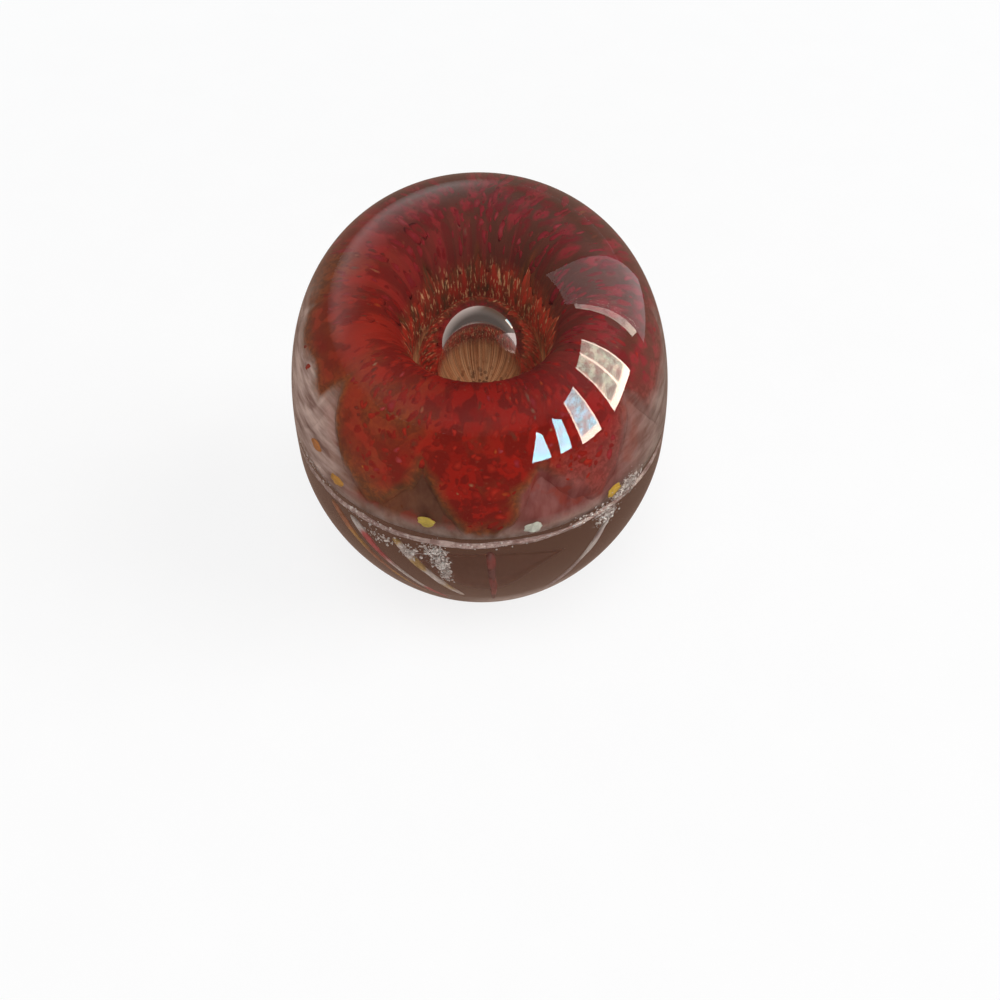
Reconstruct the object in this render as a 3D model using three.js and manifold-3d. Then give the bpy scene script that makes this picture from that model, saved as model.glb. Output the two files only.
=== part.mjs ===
// Glass jellyfish paperweight: a red frit bell, an air bubble and trailed threads cased in clear glass.
// Millimetres, +Z up, origin at the centre of the ground base. The front of the design faces -Y.

import * as THREE from 'three';
import { ParametricGeometry } from 'three/addons/geometries/ParametricGeometry.js';
import { mergeVertices } from 'three/addons/utils/BufferGeometryUtils.js';
import Module from 'manifold-3d';

const wasm = await Module();
wasm.setup();

// Body
const DIAMETER = 75;
const HEIGHT = 84.5;
const WIDEST_HEIGHT = 35;
const BASE_DIAMETER = 41.3;
const DOME_POWER = 2.5;
const FOOT_POWER = 1.74;

// Walls of the outer gather
const CASING_WALL = 5.5;
const BASE_WALL = 6.65;

// Frit layer, and the seam between two layers of glass
const FRIT_THICKNESS = 1.4;
const SEAM = 0.3;

// Bell, with its funnel and the bubble at the bottom of the funnel
const RIM_LIFT = 2.5;
const BELL_RISE = 22.5;
const BELL_POWER = 2.2;
const BUBBLE_DIAMETER = 17;
const BUBBLE_SINK = 10.5;
const FUNNEL_WIDTH = 8;
const BUBBLE_LIP = 0.5;
const CUP_LIFT = 5;

// Lobes along the rim: the notches between them, and how much longer the front lobe is than the others
const LOBES = 9;
const LOBE_POWER = 1.1;
const NOTCH_HEIGHT = 12;
const FRONT_DROP = 5;
const FRONT_SPREAD = 60;

// Pale veil of frit under the lobes
const VEIL_THICKNESS = 0.5;
const VEIL_HEIGHT = 18.5;
const VEIL_SEAM = 0.45;

// Frit chips between the lobes
const CHIP_THICKNESS = 1.2;
const CHIP_WIDTH = 3.4;
const CHIP_HEIGHT = 2.6;

// Roundness of the faceted surfaces: sides round the axis, and steps along each stretch of a profile
const SEGMENTS = 36;
const DOME_STEPS = 14;
const SIDE_STEPS = 8;
const CUP_STEPS = 6;
const VEIL_STEPS = 5;
const LOBE_SEGMENTS = 72;
const THREAD_SIDES = 8;
const THREAD_STEPS = 9;
const SAME_POINT = 1e-4;

// Threads: angle round the body from the front (degrees, positive to the right), at the rim and at the
// lower end, the height of the lower end, the thread's radius and its colour
const THREADS = [
  { name: 'tentacle_amber_left', from: -56, to: -24, low: 15, radius: 0.9, color: 0xc08a2e },
  { name: 'tentacle_pink_left', from: -47, to: -15, low: 13, radius: 1.0, color: 0xb04a50 },
  { name: 'tentacle_silver_left', from: -30, to: -8, low: 17, radius: 1.1, color: 0xd8d2cc },
  { name: 'tentacle_red_front', from: 2, to: 4, low: 14, radius: 0.9, color: 0x96282a },
  { name: 'tentacle_silver_right', from: 46, to: 26, low: 14, radius: 1.0, color: 0xd8d2cc },
  { name: 'tentacle_pink_right', from: 86, to: 70, low: 16, radius: 0.9, color: 0xb04a50 },
  { name: 'tentacle_amber_back', from: 132, to: 116, low: 14, radius: 0.9, color: 0xc08a2e },
  { name: 'tentacle_red_back', from: 178, to: 164, low: 13, radius: 1.0, color: 0x96282a },
  { name: 'tentacle_silver_back', from: -138, to: -120, low: 15, radius: 1.0, color: 0xd8d2cc },
];

// Chips: angle round the body from the front, height over the rim, and colour
const CHIPS = [
  { name: 'chip_white_right', at: 16, lift: 2.4, color: 0xcfe0d8 },
  { name: 'chip_yellow_right', at: 46, lift: 2.6, color: 0xd8b030 },
  { name: 'chip_orange_side', at: -63, lift: 7.5, color: 0xc8702a },
  { name: 'chip_amber_left', at: -52, lift: 4, color: 0xd09a30 },
  { name: 'chip_yellow_left', at: -18, lift: 4, color: 0xd6c23c },
];

// Sizes that follow from the driving dimensions
const BODY_RADIUS = DIAMETER / 2;
const BASE_RADIUS = BASE_DIAMETER / 2;
const BUBBLE_RADIUS = BUBBLE_DIAMETER / 2;
const HALF_FRIT = FRIT_THICKNESS / 2;
const CHANNEL = HALF_FRIT + SEAM;
const VEIL_DEPTH = HALF_FRIT + VEIL_SEAM;
const BED = VEIL_DEPTH + VEIL_THICKNESS + SEAM;
const BELL_RADIUS = BODY_RADIUS - CASING_WALL - CHANNEL;
const RIM_HEIGHT = WIDEST_HEIGHT + RIM_LIFT;
const CROWN_HEIGHT = RIM_HEIGHT + BELL_RISE;
const CUP_RADIUS = BUBBLE_RADIUS + HALF_FRIT;
const CROWN_RADIUS = CUP_RADIUS + FUNNEL_WIDTH;
const BUBBLE_HEIGHT = CROWN_HEIGHT - BUBBLE_SINK;
const CORE_BASE_RADIUS = BASE_RADIUS - BASE_WALL;
const SHOULDER_RADIUS = BELL_RADIUS + HALF_FRIT;
const SHOULDER_HEIGHT = RIM_HEIGHT - FRIT_THICKNESS - 2 * SEAM;
const FOOT_DEPTH = WIDEST_HEIGHT / (1 - (BASE_RADIUS / BODY_RADIUS) ** FOOT_POWER) ** (1 / FOOT_POWER);

const point = (r, z) => new THREE.Vector2(r, z);
const quarterTurn = Math.PI / 2;

// Points of a curve r(t), z(t) at even steps of t from 0 to 1
function sample(curve, steps) {
  return Array.from({ length: steps + 1 }, (_, i) => curve(i / steps));
}

// Quarter of a superellipse, from the full radius at its foot to the axis of the ellipse at its top
function arch(inner, outer, foot, top, power) {
  return (t) => point(
    inner + (outer - inner) * Math.max(0, Math.cos(t * quarterTurn)) ** (2 / power),
    foot + (top - foot) * Math.sin(t * quarterTurn) ** (2 / power),
  );
}

// Middle of the frit layer: up the bell, over its crown, down the funnel and round the cup
const bellSide = arch(CROWN_RADIUS, BELL_RADIUS, RIM_HEIGHT, CROWN_HEIGHT, BELL_POWER);
const funnel = (t) => point(
  CROWN_RADIUS - FUNNEL_WIDTH * Math.sin(t * quarterTurn),
  BUBBLE_HEIGHT + BUBBLE_SINK * Math.cos(t * quarterTurn),
);
const cup = (t) => point(
  CUP_RADIUS * Math.cos(t * quarterTurn),
  BUBBLE_HEIGHT - CUP_RADIUS * Math.sin(t * quarterTurn),
);
const bellLine = [...sample(bellSide, SIDE_STEPS), ...sample(funnel, CUP_STEPS).slice(1)];
const cupLine = sample(cup, CUP_STEPS);

// A stretch of a curve between two places on it
const stretch = (curve, from, to, steps) => sample((t) => curve(from + (to - from) * t), steps);

// Where a height above the rim lies along the side of the bell, from 0 at the rim to 1 at the crown
function sidePlace(lift) {
  return Math.asin((lift / BELL_RISE) ** (BELL_POWER / 2)) / quarterTurn;
}

// Where a height above the middle of the bubble lies along the funnel, from 0 at the crown to 1
const funnelPlace = (lift) => Math.acos(lift / BUBBLE_SINK) / quarterTurn;

// A line moved sideways: a positive distance lies towards the dome, a negative one towards the core
function offset(line, distance) {
  return line.map((here, i) => {
    const before = line[Math.max(i - 1, 0)];
    const after = line[Math.min(i + 1, line.length - 1)];
    const along = after.clone().sub(before).normalize();
    return point(Math.max(0, here.x + along.y * distance), here.y - along.x * distance);
  });
}

// The cup is round, so it is moved sideways by its radius
function movedCup(line, distance) {
  const scale = (CUP_RADIUS - distance) / CUP_RADIUS;
  return line.map((p) => point(p.x * scale, BUBBLE_HEIGHT + (p.y - BUBBLE_HEIGHT) * scale));
}

// Side of the core, from the ground base up to the shoulder that carries the rim of the bell
function coreRadius(z) {
  const rise = Math.sin(Math.min(z / SHOULDER_HEIGHT, 1) * quarterTurn);
  return CORE_BASE_RADIUS + (SHOULDER_RADIUS - CORE_BASE_RADIUS) * rise;
}
const coreSide = sample((t) => {
  const z = t * SHOULDER_HEIGHT;
  return point(coreRadius(z), z);
}, SIDE_STEPS);

// Outside of the body, below and above the widest circle
const footSide = sample((t) => {
  const z = t * WIDEST_HEIGHT;
  const drop = (WIDEST_HEIGHT - z) / FOOT_DEPTH;
  return point(BODY_RADIUS * (1 - drop ** FOOT_POWER) ** (1 / FOOT_POWER), z);
}, SIDE_STEPS);
const dome = sample(arch(0, BODY_RADIUS, WIDEST_HEIGHT, HEIGHT, DOME_POWER), DOME_STEPS);

// A profile turned round the Z axis
function turned(profile) {
  const geometry = new THREE.LatheGeometry(profile, SEGMENTS);
  geometry.rotateX(quarterTurn);
  return geometry;
}

// A closed geometry as a solid that can be joined and cut
function solid(geometry) {
  const bare = geometry.clone();
  bare.deleteAttribute('normal');
  bare.deleteAttribute('uv');
  const merged = mergeVertices(bare, SAME_POINT);
  const index = merged.index.array;
  const kept = [];
  for (let i = 0; i < index.length; i += 3) {
    const [a, b, c] = index.slice(i, i + 3);
    if (a !== b && b !== c && c !== a) kept.push(a, b, c);
  }
  const vertProperties = new Float32Array(merged.attributes.position.array);
  const triVerts = new Uint32Array(kept);
  return new wasm.Manifold(new wasm.Mesh({ numProp: 3, vertProperties, triVerts }));
}

// A solid as a geometry again
function geometryOf(body) {
  const mesh = body.getMesh();
  const geometry = new THREE.BufferGeometry();
  geometry.setAttribute('position', new THREE.BufferAttribute(mesh.vertProperties, 3));
  geometry.setIndex(new THREE.BufferAttribute(mesh.triVerts, 1));
  geometry.computeVertexNormals();
  return geometry;
}

// A closed loop of points for a ring-shaped piece
const loop = (points) => [...points, points[0].clone()];

// Angle from the front of the body, in degrees, as a direction in the XY plane
function direction(degrees) {
  const angle = THREE.MathUtils.degToRad(degrees);
  return new THREE.Vector3(Math.sin(angle), -Math.cos(angle), 0);
}

// Outer gather: the roof of the bubble, the underside that lies on the bell, the bore and the outside
function outerGather() {
  const onBell = offset(bellLine, CHANNEL).reverse();
  const centre = point(0, BUBBLE_HEIGHT);
  const first = onBell.findIndex((p) => p.distanceTo(centre) > BUBBLE_RADIUS + BUBBLE_LIP);
  const underside = onBell.slice(first);
  const lip = Math.atan2(underside[0].x, underside[0].y - BUBBLE_HEIGHT);
  const roof = sample((t) => point(
    BUBBLE_RADIUS * Math.sin(t * lip),
    BUBBLE_HEIGHT + BUBBLE_RADIUS * Math.cos(t * lip),
  ), CUP_STEPS);
  const bore = coreSide.map((p) => point(p.x + SEAM, p.y)).reverse();
  return turned([...roof, ...underside, ...bore, ...footSide, ...dome.slice(1)]);
}

// Points of a thread down the side of the core, sunk just under its surface
function threadPoints({ from, to, low, radius }) {
  const top = SHOULDER_HEIGHT - SEAM - radius;
  return sample((t) => {
    const z = top + (low - top) * t;
    const sunk = coreRadius(z) - radius - SEAM / 2;
    return direction(from + (to - from) * t).multiplyScalar(sunk).setZ(z);
  }, THREAD_STEPS);
}

// A round bar through points; a full arc is divided into twice as many sides as its segments
function bar(points, radius) {
  const section = new THREE.Shape();
  section.absarc(0, 0, radius, 0, 2 * Math.PI);
  const extrudePath = new THREE.CatmullRomCurve3(points);
  const steps = points.length - 1;
  return new THREE.ExtrudeGeometry(section, { extrudePath, steps, curveSegments: THREAD_SIDES / 2 });
}

const thread = (trail) => bar(threadPoints(trail), trail.radius);

// Groove for a thread: wider by the seam on its flats, open at the shoulder and longer at its lower end
function groove(trail) {
  const points = threadPoints(trail);
  const above = points[0].clone().setZ(SHOULDER_HEIGHT + FRIT_THICKNESS);
  const [last, end] = points.slice(-2);
  const below = end.clone().sub(last).setLength(SEAM).add(end);
  return bar([above, ...points, below], (trail.radius + SEAM) / Math.cos(Math.PI / THREAD_SIDES));
}

// Core gather: the ground base, the grooved side, the shoulder and the bed of the bell and the cup
function coreGather() {
  const base = [point(0, 0)];
  const bed = [...offset(bellLine, -BED), ...movedCup(cupLine, -BED).slice(1)];
  const shoulder = [point(bed[0].x, SHOULDER_HEIGHT)];
  const body = solid(turned([...base, ...coreSide, ...shoulder, ...bed]));
  return geometryOf(THREADS.reduce((left, trail) => left.subtract(solid(groove(trail))), body));
}

// Height of the rim over its lowest point: lobes with a notch between each two, longest at the front
function rimLift(angle) {
  const notch = 1 - Math.abs(Math.cos(LOBES * angle / 2)) ** LOBE_POWER;
  const turn = THREE.MathUtils.radToDeg(Math.min(angle, 2 * Math.PI - angle));
  return NOTCH_HEIGHT * notch + FRONT_DROP * THREE.MathUtils.smoothstep(turn, 0, FRONT_SPREAD);
}

// A closed section carried round the axis, where the section changes with the angle from the front
function carried(sectionAt, segments) {
  const sections = sample((t) => sectionAt(2 * Math.PI * (t % 1)), segments);
  const last = sections[0].length - 1;
  return new ParametricGeometry((u, v, target) => {
    const { x, y } = sections[Math.round(v * segments)][Math.round(u * last)];
    const angle = 2 * Math.PI * v;
    target.set(x * Math.sin(angle), -x * Math.cos(angle), y);
  }, last, segments);
}

// Section of a layer between two distances from the middle of the frit
const layer = (line, near, far) => loop([...offset(line, far), ...offset(line, near).reverse()]);

// Bell: the frit layer from the lobes of the rim to the edge of the cup in the funnel
function bell() {
  const down = stretch(funnel, 0, funnelPlace(CUP_LIFT), CUP_STEPS).slice(1);
  return carried((angle) => {
    const side = stretch(bellSide, sidePlace(rimLift(angle)), 1, SIDE_STEPS);
    return layer([...side, ...down], -HALF_FRIT, HALF_FRIT).reverse();
  }, LOBE_SEGMENTS);
}

// Veil: a thin pale layer between the core and the lobes, which shows in the notches
function veil() {
  const line = stretch(bellSide, 0, sidePlace(VEIL_HEIGHT), VEIL_STEPS);
  return turned(layer(line, -VEIL_DEPTH - VEIL_THICKNESS, -VEIL_DEPTH));
}

// Cup: the frit layer in the lower funnel and under the bubble
function bubbleCup() {
  const wall = stretch(funnel, funnelPlace(CUP_LIFT - SEAM), 1, CUP_STEPS / 2);
  const face = (distance) => [...offset(wall, distance), ...movedCup(cupLine, distance).slice(1)];
  return turned([...face(-HALF_FRIT).reverse(), ...face(HALF_FRIT)]);
}

// Thread of silvery glass that closes the rim, lying on the shoulder of the core
function rimThread() {
  const ring = new THREE.TorusGeometry(BELL_RADIUS, HALF_FRIT, THREAD_SIDES, SEGMENTS);
  ring.translate(0, 0, SHOULDER_HEIGHT + SEAM + HALF_FRIT);
  return ring;
}

// Chip of frit between or under the lobes
function chip({ at, lift }) {
  const grain = new THREE.IcosahedronGeometry(0.5, 1);
  grain.scale(CHIP_WIDTH, CHIP_THICKNESS, CHIP_HEIGHT);
  grain.rotateZ(THREE.MathUtils.degToRad(at));
  const place = direction(at).multiplyScalar(bellSide(sidePlace(lift)).x);
  grain.translate(place.x, place.y, RIM_HEIGHT + lift);
  return grain;
}

const paperweight = new THREE.Group();

function place(name, geometry, color, roughness = 0.1, metalness = 0) {
  const mesh = new THREE.Mesh(geometry, new THREE.MeshStandardMaterial({ color, roughness, metalness }));
  mesh.name = name;
  paperweight.add(mesh);
}

place('outer_gather', outerGather(), 0xf2f4f2, 0.03);
place('core_gather', coreGather(), 0xb8aaa2, 0.05);
place('bell', bell(), 0x8c2024, 0.15);
place('bubble_cup', bubbleCup(), 0xa8783e, 0.2);
place('rim_veil', veil(), 0xb8a8a4, 0.2);
place('rim_thread', rimThread(), 0xd8d2cc, 0.15, 0.3);
for (const trail of THREADS) {
  place(trail.name, thread(trail), trail.color);
}
for (const grain of CHIPS) {
  place(grain.name, chip(grain), grain.color);
}

export default paperweight;
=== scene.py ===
"""Looks of the glass jellyfish paperweight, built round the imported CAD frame.

Metres, +Z up, front of the design towards -Y. Shapes and places are worked out in millimetres and scaled
where a mesh or a mask is made. An angle round the body is counted from the front and grows to the right.
"""
import math

import bpy
import numpy as np
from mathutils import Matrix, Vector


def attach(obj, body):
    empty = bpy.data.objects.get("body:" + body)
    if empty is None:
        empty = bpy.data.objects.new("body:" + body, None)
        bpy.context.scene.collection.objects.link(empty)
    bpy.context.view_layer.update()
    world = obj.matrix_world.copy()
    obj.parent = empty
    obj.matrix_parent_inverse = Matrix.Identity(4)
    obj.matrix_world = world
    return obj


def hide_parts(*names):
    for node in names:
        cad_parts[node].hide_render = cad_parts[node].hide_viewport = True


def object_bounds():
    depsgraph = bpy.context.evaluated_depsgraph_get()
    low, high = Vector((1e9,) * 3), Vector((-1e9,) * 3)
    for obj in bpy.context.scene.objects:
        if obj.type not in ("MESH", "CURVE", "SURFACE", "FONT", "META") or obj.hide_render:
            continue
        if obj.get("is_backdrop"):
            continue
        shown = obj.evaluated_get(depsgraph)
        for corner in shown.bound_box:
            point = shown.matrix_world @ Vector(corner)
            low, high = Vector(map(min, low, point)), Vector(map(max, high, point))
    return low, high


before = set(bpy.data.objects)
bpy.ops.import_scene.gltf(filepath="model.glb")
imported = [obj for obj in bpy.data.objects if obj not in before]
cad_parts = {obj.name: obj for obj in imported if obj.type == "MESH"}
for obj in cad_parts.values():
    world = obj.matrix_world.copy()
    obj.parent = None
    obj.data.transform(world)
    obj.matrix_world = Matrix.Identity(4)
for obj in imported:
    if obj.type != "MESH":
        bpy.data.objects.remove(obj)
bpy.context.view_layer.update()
scene = bpy.context.scene
chance = np.random.default_rng(20)

MM = 0.001
TURN = 2 * math.pi
QUARTER = math.pi / 2

# Body, as in the CAD model
BODY_RADIUS = 37.5
HEIGHT = 84.5
WIDEST_HEIGHT = 35
BASE_RADIUS = 20.65
DOME_POWER = 2.5
FOOT_POWER = 1.74

# Bell, funnel and bubble, as in the CAD model
BELL_RADIUS = 31
RIM_HEIGHT = 37.5
BELL_RISE = 22.5
BELL_POWER = 2.2
CROWN_RADIUS = 17.2
FUNNEL_WIDTH = 8
BUBBLE_HEIGHT = 49.5
BUBBLE_SINK = 10.5
CUP_RADIUS = 9.2
CUP_LIFT = 5
SEAM = 0.3

# Lobes, veil, core and rim thread, as in the CAD model
LOBES = 9
LOBE_POWER = 1.1
NOTCH_HEIGHT = 12
FRONT_DROP = 5
FRONT_SPREAD = math.radians(60)
VEIL_HEIGHT = 18.5
VEIL_DEPTH = 1.15
VEIL_THICKNESS = 0.5
CORE_BASE_RADIUS = 14
SHOULDER_RADIUS = 31.7
SHOULDER_HEIGHT = 35.5
CORE_BED = 1.95
RIM_THREAD_HEIGHT = 36.5

# Only in the looks: air of the bubble, edge of the base, gap under the core, unevenness of the casing
BUBBLE_RADIUS = 8.25
BASE_EDGE = 0.35
CORE_LIFT = 0.15
SWELL = 0.05
SWELL_REACH = 12

# Only in the looks: half the melted layer, how it sinks and thins onto the veil and melts into the cup, and
# how far the cup lies out and in from its middle line, and in at its lip
BELL_HALF = 0.42
SINK = 1.3
SINK_HEIGHT = 3.5
SINK_THINNING = 0.75
MELT_WIDTH = 5.0
MELD = 3.0
CUP_OUT = 0.6
CUP_IN = 0.45
LIP = 0.1

# Waves of the torn edge: size, times round the bell, start
EDGE_WAVES = ((0.5, 23, 1.0), (0.35, 41, 2.2), (0.25, 67, 0.0))

# Grains: end of the rows over the bubble's middle, sides, thickness, depth in the layer, part of the rows
# that lies on the side, and where they are kept: over the fading height, and inside the torn edge by a part
# of the melt's width that grows on the left and right
GRAIN_LIFT = 7.5
GRAIN_SIDES = 8
GRAIN_THICKNESS = 0.25
GRAIN_DEPTH = 0.2
ON_SIDE = 0.7
KEPT_OVER = 0.6
KEPT_INSIDE = 0.6
KEPT_LEFT = 0.6
KEPT_RIGHT = 0.5
SPARSE = (14, 22)

# Where the tones of the bell change: along a slant to the back right, to the left, where light is painted,
# and away from the axis
SLANT = 0.8
BACK_REACH = (-12, 24)
GAP_REACH = (-6, 16)
PAINTED_LIT_REACH = (-4, -16)
DUSK_REACH = (18, 13)
STREAK_REACH = (11.0, 9.4)

# Height at which the red fades into the veil: lowest in the middle, and raised at both sides
FADE_HEIGHTS = (38.5, 46.5)
FADE_MIDDLE = (2, 12)
FADE_LEFT = (-21.5, -28.5)
FADE_RIGHT = (20, 29)
RAISED_LEFT = 12
RAISED_RIGHT = 10

# Fading of the red: depth inside the torn edge, patches, wear on the left, the steps from veil to brown and
# from brown to red, and where the brown turns dull
TORN_DEPTH = (-7, 8)
PATCH_DEPTH = 32
WORN_REACH = (-14, -25)
WORN_DEPTH = 5.5
BROWN_STEP = (9.5, 16.0)
RED_STEP = (13.2, 22.8)
DULL_REACH = (6, 14)


def smooth(part):
    """A soft step from 0 to 1: three squares less two cubes of the part, held between 0 and 1"""
    part = np.clip(part, 0, 1)
    return part * part * (3 - 2 * part)


def carried(value, low, high):
    """A value carried from a range to 0 to 1, held at both ends"""
    return np.clip((value - low) / (high - low), 0, 1)


def round_axis(r, angle, z):
    """Points at a radius and a height, at an angle from the front"""
    return np.stack(np.broadcast_arrays(r * np.sin(angle), -r * np.cos(angle), z), -1)


def ripple(angle, height, waves, turns, rise):
    """An uneven, seamless field of about -1 to 1: a sum of sine waves that each go a whole number of times
    round the axis and change at their own rate with the height"""
    field = 0.0
    for _ in range(waves):
        times = chance.integers(1, turns + 1)
        rate = chance.uniform(-rise, rise)
        field = field + np.sin(times * angle + rate * height + chance.uniform(0, TURN))
    return field / math.sqrt(waves)


def dome_line(t):
    """Upper outline: a quarter superellipse from the widest circle (0) to the top (1)"""
    r = BODY_RADIUS * np.cos(t * QUARTER).clip(0) ** (2 / DOME_POWER)
    return r, WIDEST_HEIGHT + (HEIGHT - WIDEST_HEIGHT) * np.sin(t * QUARTER) ** (2 / DOME_POWER)


def foot_radius(z):
    """Lower outline: a superellipse round the widest circle, cut off by the base at its own radius"""
    depth = WIDEST_HEIGHT / (1 - (BASE_RADIUS / BODY_RADIUS) ** FOOT_POWER) ** (1 / FOOT_POWER)
    return BODY_RADIUS * (1 - ((WIDEST_HEIGHT - z) / depth) ** FOOT_POWER) ** (1 / FOOT_POWER)


def side_line(t):
    """Middle of the frit up the bell: a quarter superellipse from the rim (0) to the crown (1)"""
    r = CROWN_RADIUS + (BELL_RADIUS - CROWN_RADIUS) * np.cos(t * QUARTER).clip(0) ** (2 / BELL_POWER)
    return r, RIM_HEIGHT + BELL_RISE * np.sin(t * QUARTER) ** (2 / BELL_POWER)


def side_place(lift):
    """Where a height over the rim lies on the side of the bell"""
    return np.arcsin(np.clip(lift / BELL_RISE, 0, 1) ** (BELL_POWER / 2)) / QUARTER


def funnel_line(t):
    """Middle of the frit down the funnel: a quarter ellipse from the crown (0) to the bubble's middle (1)"""
    r = CROWN_RADIUS - FUNNEL_WIDTH * np.sin(t * QUARTER)
    return r, BUBBLE_HEIGHT + BUBBLE_SINK * np.cos(t * QUARTER)


def funnel_place(lift):
    """Where a height over the bubble's middle lies in the funnel"""
    return np.arccos(lift / BUBBLE_SINK) / QUARTER


def cup_line(t):
    """Middle of the frit under the bubble: a quarter circle from its equator (0) to its lowest point (1)"""
    return CUP_RADIUS * np.cos(t * QUARTER), BUBBLE_HEIGHT - CUP_RADIUS * np.sin(t * QUARTER)


def core_radius(z):
    """Side of the core: a quarter sine wave from the base out to the shoulder"""
    return CORE_BASE_RADIUS + (SHOULDER_RADIUS - CORE_BASE_RADIUS) * np.sin(z / SHOULDER_HEIGHT * QUARTER)


def edge_lift(angle):
    """Height of the torn edge of the bell over the rim: one cosine arch per lobe, a longer lobe in front,
    and small waves on them"""
    notch = 1 - np.abs(np.cos(LOBES * angle / 2)) ** LOBE_POWER
    away = np.abs((angle + math.pi) % TURN - math.pi)
    lobes = NOTCH_HEIGHT * notch + FRONT_DROP * smooth(away / FRONT_SPREAD)
    waves = sum(size * np.sin(times * angle + start) for size, times, start in EDGE_WAVES)
    return np.maximum(lobes + waves, 0.2)


def inside_edge(angle, z):
    """How far a place lies inside the torn edge, from 0 on it to 1 at the melt's width: the least sum of a
    step to either side and the height over the edge there"""
    step = np.linspace(-MELT_WIDTH, MELT_WIDTH, 17).reshape(-1, *[1] * np.ndim(z))
    over = np.clip(z - RIM_HEIGHT - edge_lift(angle + step / BELL_RADIUS), 0, None)
    return np.clip((over + np.abs(step)).min(0) / MELT_WIDTH, 0, 1)


def sink(angle, z):
    """How far the frit has melted inwards onto the veil: most at its torn edge, and nothing higher up"""
    return SINK * (1 - smooth((z - RIM_HEIGHT - edge_lift(angle)) / SINK_HEIGHT))


def faded_place(x):
    """The height at which the red fades into the veil"""
    low, high = FADE_HEIGHTS
    middle = low + (high - low) * carried(np.abs(x), *FADE_MIDDLE)
    return middle + RAISED_LEFT * carried(x, *FADE_LEFT) + RAISED_RIGHT * carried(x, *FADE_RIGHT)


def moved(r, z, distance):
    """A line moved sideways along its normal, which is its direction turned by a quarter. A positive
    distance lies towards the dome"""
    dr, dz = np.gradient(r, axis=0), np.gradient(z, axis=0)
    size = np.hypot(dr, dz)
    return r + dz / size * distance, z - dr / size * distance


def grid_faces(rows, columns, looped):
    """Corner numbers of the faces over a grid of points whose columns go round, and its rows too if looped,
    with each corner's place on the grid as a map from 0 to 1"""
    i, j = np.meshgrid(np.arange(rows if looped else rows - 1), np.arange(columns), indexing="ij")
    step = np.array([(0, 0), (0, 1), (1, 1), (1, 0)])
    row = i[..., None] + step[:, 0]
    column = j[..., None] + step[:, 1]
    faces = (row % rows) * columns + column % columns
    spots = np.stack([column / columns, row / (rows if looped else rows - 1)], -1)
    return faces.reshape(-1, 4), spots.reshape(-1, 2)


def wrapped(rings):
    """Points, faces and map of a ring-shaped skin, closed both ways"""
    faces, spots = grid_faces(*rings.shape[:2], True)
    return rings.reshape(-1, 3), faces.tolist(), spots


def capped(rings, first, last):
    """Points, faces and map of a skin of rings, closed at each end by a fan of triangles onto one point"""
    rows, columns = rings.shape[:2]
    faces, spots = grid_faces(rows, columns, False)
    j = np.arange(columns)
    k = (j + 1) % columns
    start, end = rows * columns, rows * columns + 1
    low = np.stack([np.full(columns, start), k, j], -1)
    top = np.stack([np.full(columns, end), j + end - 1 - columns, k + end - 1 - columns], -1)
    fan = np.stack([j + 0.5, j + 1.0, j + 0.0], -1) / columns
    low_spots = np.stack([fan, 0 * fan], -1)
    top_spots = np.stack([fan[:, [0, 2, 1]], 0 * fan + 1], -1)
    points = np.concatenate([rings.reshape(-1, 3), [first, last]])
    spots = np.concatenate([spots, low_spots.reshape(-1, 2), top_spots.reshape(-1, 2)])
    return points, faces.tolist() + low.tolist() + top.tolist(), spots


def turned(r, z, columns):
    """Rings of a profile turned round the axis"""
    angle = np.linspace(-math.pi, math.pi, columns, endpoint=False)
    return round_axis(r[:, None], angle, z[:, None])


def joined(*skins):
    """Several skins as one: points and maps one after the other, and corner numbers moved up to match"""
    points, faces, spots, count = [], [], [], 0
    for skin in skins:
        points.append(skin[0])
        faces += [[corner + count for corner in face] for face in skin[1]]
        spots.append(skin[2])
        count += len(skin[0])
    return np.concatenate(points), faces, np.concatenate(spots)


def piece(name, skin, finish, nodes=(), tones=None):
    """A mesh object that rides on the body, made of a skin in millimetres, with one tone per point"""
    points, faces, spots = skin
    mesh = bpy.data.meshes.new(name)
    mesh.from_pydata((points * MM).tolist(), [], faces)
    mesh.uv_layers.new(name="map").data.foreach_set("uv", np.ascontiguousarray(spots, float).ravel())
    if tones is not None:
        layer = mesh.color_attributes.new("tone", "FLOAT_COLOR", "POINT")
        layer.data.foreach_set("color", np.column_stack([tones, np.ones(len(tones))]).ravel())
    mesh.materials.append(finish)
    mesh.shade_smooth()
    thing = bpy.data.objects.new(name, mesh)
    scene.collection.objects.link(thing)
    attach(thing, "root")
    if nodes:
        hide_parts(*nodes)


def filled(tree, node, inputs):
    """Plain values or links on a node's inputs. A colour of three numbers gets a full alpha"""
    for key, value in inputs.items():
        socket = node.inputs[key]
        if isinstance(value, bpy.types.NodeSocket):
            tree.links.new(value, socket)
        elif socket.type == "RGBA":
            socket.default_value = (*value, 1.0)
        else:
            socket.default_value = value
    return node


def add(tree, kind, inputs=None, **settings):
    """A node of one kind, with its settings and its inputs: what it puts out"""
    node = tree.nodes.new("ShaderNode" + kind)
    for key, value in settings.items():
        setattr(node, key, value)
    return filled(tree, node, inputs or {}).outputs


def worked(tree, kind, *values):
    """A value worked out from others"""
    return add(tree, "Math", dict(enumerate(values)), operation=kind)[0]


def vector(tree, kind, *values):
    """A vector worked out from others"""
    return add(tree, "VectorMath", dict(enumerate(values)), operation=kind)["Vector"]


def length(tree, place):
    """How far a place lies from the origin"""
    return add(tree, "VectorMath", {0: place}, operation="LENGTH")["Value"]


def scaled(tree, place, scale):
    """A vector made longer"""
    return add(tree, "VectorMath", {0: place, "Scale": scale}, operation="SCALE")["Vector"]


def parts(tree, place):
    """The three parts of a place"""
    return add(tree, "SeparateXYZ", {0: place})


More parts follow.
